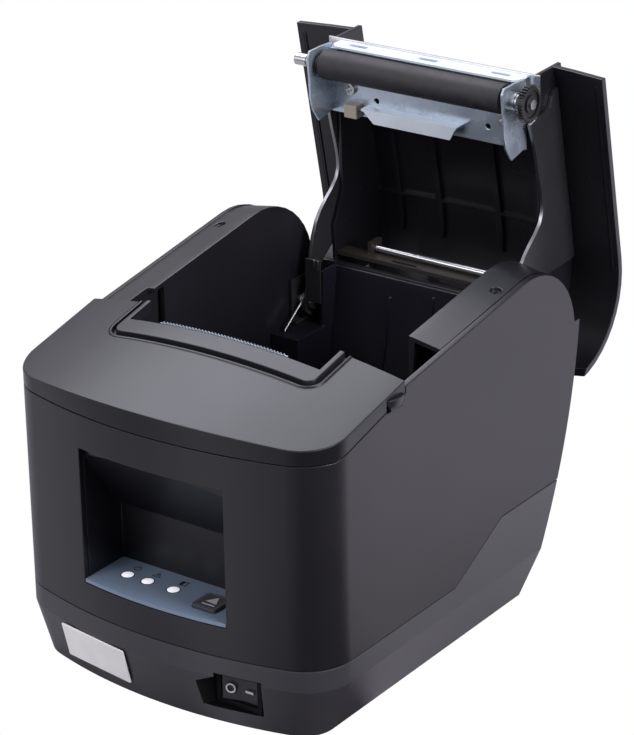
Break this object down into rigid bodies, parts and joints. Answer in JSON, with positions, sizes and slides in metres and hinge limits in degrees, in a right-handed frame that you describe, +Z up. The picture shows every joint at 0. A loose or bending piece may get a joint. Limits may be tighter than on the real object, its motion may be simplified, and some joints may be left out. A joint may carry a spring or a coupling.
{
  "type": "receipt printer",
  "caption": "Desktop thermal receipt printer with its top cover swung open, showing the paper bin, platen roller, tear blade, display window and controls.",
  "frame": {"origin": "on the table, under the middle of the printer with its cover open", "axes": "+X to the printer's right as seen from its front, +Y from the front to the rear, +Z up"},
  "size_m": [0.149, 0.2281, 0.2072],
  "materials": {
    "case_plastic": "moulded charcoal plastic, fine grain",
    "plate_plastic": "moulded grey plastic, fine grain",
    "dark_plastic": "near-black plastic",
    "bin_plastic": "smooth dark plastic",
    "cover_plastic": "smooth near-black plastic",
    "panel_blue": "blue-grey key panel",
    "lens_white": "clear white lens",
    "button_plastic": "satin black key",
    "blank_plate": "light satin plate",
    "rubber": "black rubber",
    "roller_rubber": "ground grey-black rubber",
    "plated_steel": "zinc-plated sheet",
    "bright_steel": "polished steel",
    "steel": "steel",
    "black_steel": "black steel sheet",
    "aluminium": "cast aluminium",
    "brass": "brass",
    "board_green": "circuit board",
    "gear_plastic": "acetal",
    "gear_black": "black acetal",
    "guide_brown": "dark brown-grey strip",
    "block_beige": "beige nylon",
    "ceramic": "ceramic head"
  },
  "bodies": {
    "body": {"base_case": "case_plastic", "rubber_feet": "rubber", "base_screws": "steel", "name_plate": "blank_plate", "upper_case": "case_plastic", "cheek_screws": "black_steel", "window_frame": "dark_plastic", "indicator_panel": "panel_blue", "indicator_lenses": "lens_white", "panel_board": "board_green", "top_plate": "plate_plastic", "tear_blade": "bright_steel", "paper_bin": "bin_plastic", "paper_sensor": "dark_plastic", "main_board": "board_green", "power_jack": "dark_plastic", "interface_port": "plated_steel", "drawer_port": "dark_plastic", "switch_housing": "dark_plastic", "hinge_brackets": "black_steel", "hinge_pins": "steel", "hinge_springs": "steel", "head_bracket": "plated_steel", "head_heatsink": "aluminium", "print_head": "ceramic", "head_springs": "steel", "latch_pivots": "steel", "stepper_motor": "steel", "idler_post": "steel", "cutter_frame": "plated_steel", "cutter_motor": "steel"},
    "cover": {"cover_shell": "cover_plastic", "cover_arms": "black_steel", "guide_rod": "bright_steel", "paper_guide": "guide_brown", "platen_bracket": "plated_steel", "bracket_screws": "bright_steel", "cover_switch_block": "block_beige", "blade_holder": "plated_steel", "counter_blade": "bright_steel", "platen_bushes": "steel"},
    "platen": {"platen_shaft": "bright_steel", "platen_roller": "roller_rubber", "platen_gear": "gear_black"},
    "feed_button": {"feed_button": "button_plastic"},
    "power_rocker": {"power_rocker": "button_plastic"},
    "release_latch": {"release_latch": "plate_plastic"},
    "cutter_blade": {"cutter_blade": "bright_steel"},
    "idler": {"idler_gear": "gear_plastic"},
    "pinion": {"motor_pinion": "brass"}
  },
  "joints": [
    {"name": "cover_hinge", "type": "hinge", "parent": "body", "child": "cover", "pos_m": [0, 0.0586, 0.0973], "axis": [1, 0, 0], "range_deg": [0, 87.6]},
    {"name": "platen_spin", "type": "hinge", "parent": "cover", "child": "platen", "pos_m": [0, 0.06272, 0.19956], "axis": [1, 0, 0], "continuous": true},
    {"name": "feed_button_press", "type": "slide", "parent": "body", "child": "feed_button", "axis": [0, 0, -1], "range_m": [0, 0.001], "stiffness_N_per_m": 700},
    {"name": "power_rocker_tilt", "type": "hinge", "parent": "body", "child": "power_rocker", "pos_m": [0.035, -0.1005, 0.0162], "axis": [0, 0, 1], "range_deg": [-16, 0]},
    {"name": "release_latch_turn", "type": "hinge", "parent": "body", "child": "release_latch", "pos_m": [0, -0.0572, 0.1], "axis": [1, 0, 0], "range_deg": [0, 2.2], "stiffness_Nm_per_rad": 1.5},
    {"name": "cutter_slide", "type": "slide", "parent": "body", "child": "cutter_blade", "axis": [0, 1, 0], "range_m": [0, 0.009]},
    {"name": "idler_spin", "type": "hinge", "parent": "body", "child": "idler", "pos_m": [0, -0.053, 0.0931], "axis": [1, 0, 0], "continuous": true},
    {"name": "pinion_spin", "type": "hinge", "parent": "body", "child": "pinion", "pos_m": [0, -0.0562, 0.0821], "axis": [1, 0, 0], "continuous": true}
  ],
  "couplings": [
    {"joint": "pinion_spin", "follows": "idler_spin", "ratio": -2}
  ]
}
